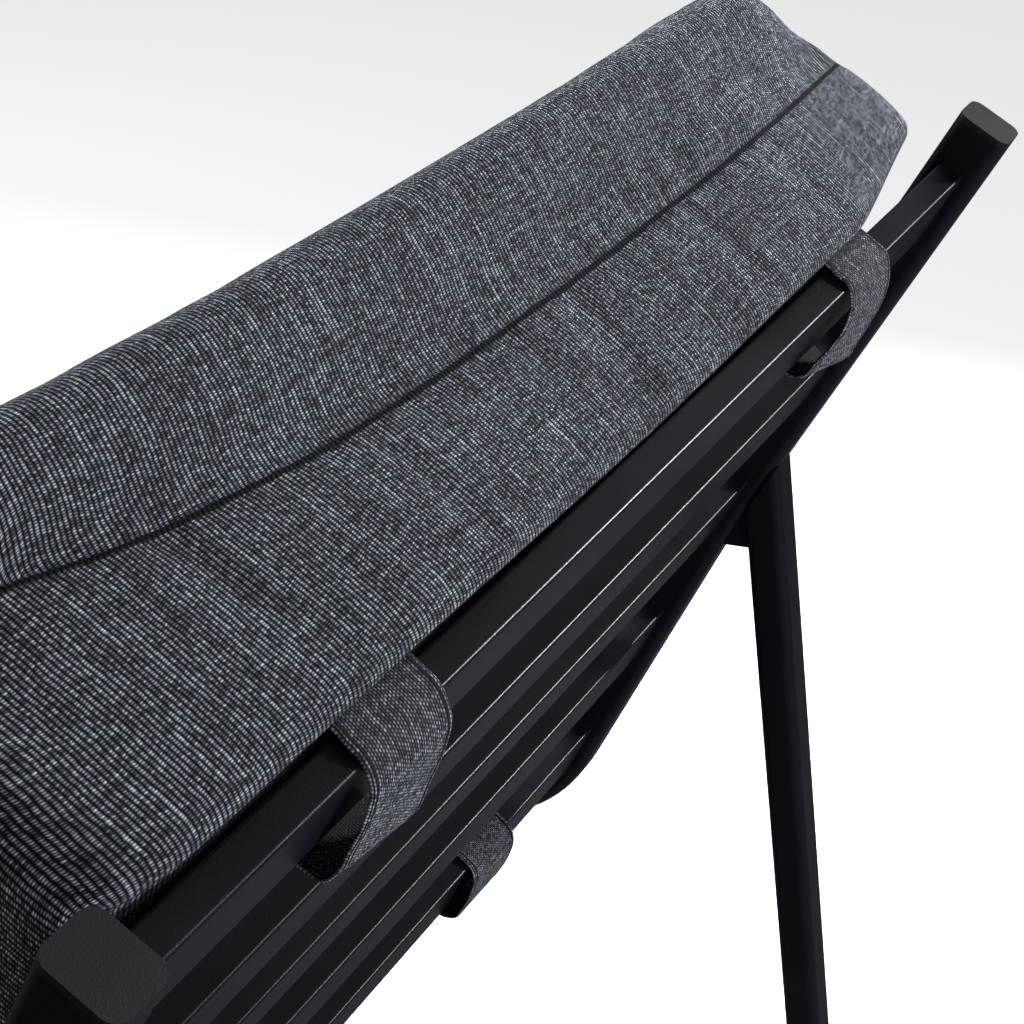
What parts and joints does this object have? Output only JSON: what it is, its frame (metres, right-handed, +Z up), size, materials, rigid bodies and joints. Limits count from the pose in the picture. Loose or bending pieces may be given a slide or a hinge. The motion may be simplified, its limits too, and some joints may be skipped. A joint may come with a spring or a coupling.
{
  "type": "outdoor lounge chair",
  "caption": "Outdoor lounge chair: black tubular frame with slatted back and seat, splayed rear legs, a strapped back cushion and a loose seat cushion.",
  "frame": {"origin": "on the floor, under the middle of the chair's bounding box", "axes": "+Z up, the sitter faces -Y, X across the chair"},
  "size_m": [0.748, 0.9052, 0.8814],
  "materials": {
    "powder_coat": "matt black powder coat on aluminium tube",
    "black_plastic": "moulded matt black",
    "cushion_fabric": "charcoal melange woven outdoor fabric",
    "strap_webbing": "folded strip of the cushion fabric, hemmed on both edges",
    "foam": "open-cell cushion foam",
    "zip_tape": "coil zip on woven tape",
    "zip_slider": "enamelled die-cast slider"
  },
  "bodies": {
    "frame": {"back_post_left": "powder_coat", "back_post_right": "powder_coat", "back_slat_2": "powder_coat", "back_slat_3": "powder_coat", "back_slat_4": "powder_coat", "back_slat_5": "powder_coat", "fork_web_left": "powder_coat", "fork_web_right": "powder_coat", "front_foot_glide_left": "black_plastic", "front_foot_glide_right": "black_plastic", "front_leg_cap_left": "black_plastic", "front_leg_cap_right": "black_plastic", "front_leg_left": "powder_coat", "front_leg_right": "powder_coat", "post_cap_left": "black_plastic", "post_cap_right": "black_plastic", "rear_foot_glide_left": "black_plastic", "rear_foot_glide_right": "black_plastic", "rear_leg_left": "powder_coat", "rear_leg_right": "powder_coat", "seat_bearer": "powder_coat", "seat_front_rail": "powder_coat", "seat_rear_rail": "powder_coat", "seat_side_rail_left": "powder_coat", "seat_side_rail_right": "powder_coat", "seat_slat_1": "powder_coat", "seat_slat_2": "powder_coat", "seat_slat_3": "powder_coat", "seat_slat_4": "powder_coat", "seat_slat_5": "powder_coat", "top_rail": "powder_coat"},
    "back_cushion": {"back_cushion_cover": "cushion_fabric", "back_cushion_foam": "foam", "back_cushion_zip": "zip_tape", "low_strap_left": "strap_webbing", "low_strap_right": "strap_webbing", "top_strap_left": "strap_webbing", "top_strap_right": "strap_webbing"},
    "seat_cushion": {"seat_cushion_cover": "cushion_fabric", "seat_cushion_foam": "foam", "seat_cushion_zip": "zip_tape"},
    "back_slider": {"back_zip_slider": "zip_slider"},
    "seat_slider": {"seat_zip_slider": "zip_slider"}
  },
  "joints": [
    {"name": "back_cushion_lift", "type": "slide", "parent": "frame", "child": "back_cushion", "axis": [0, 0.454, 0.891], "range_m": [0, 0.6], "deforming": ["low_strap_left", "low_strap_right", "top_strap_left", "top_strap_right"]},
    {"name": "seat_cushion_lift", "type": "slide", "parent": "frame", "child": "seat_cushion", "axis": [0, 0, 1], "range_m": [0, 0.3]},
    {"name": "back_zip_slide", "type": "slide", "parent": "back_cushion", "child": "back_slider", "axis": [-1, 0, 0], "range_m": [0, 0.54]},
    {"name": "seat_zip_slide", "type": "slide", "parent": "seat_cushion", "child": "seat_slider", "axis": [-1, 0, 0], "range_m": [0, 0.53]}
  ]
}
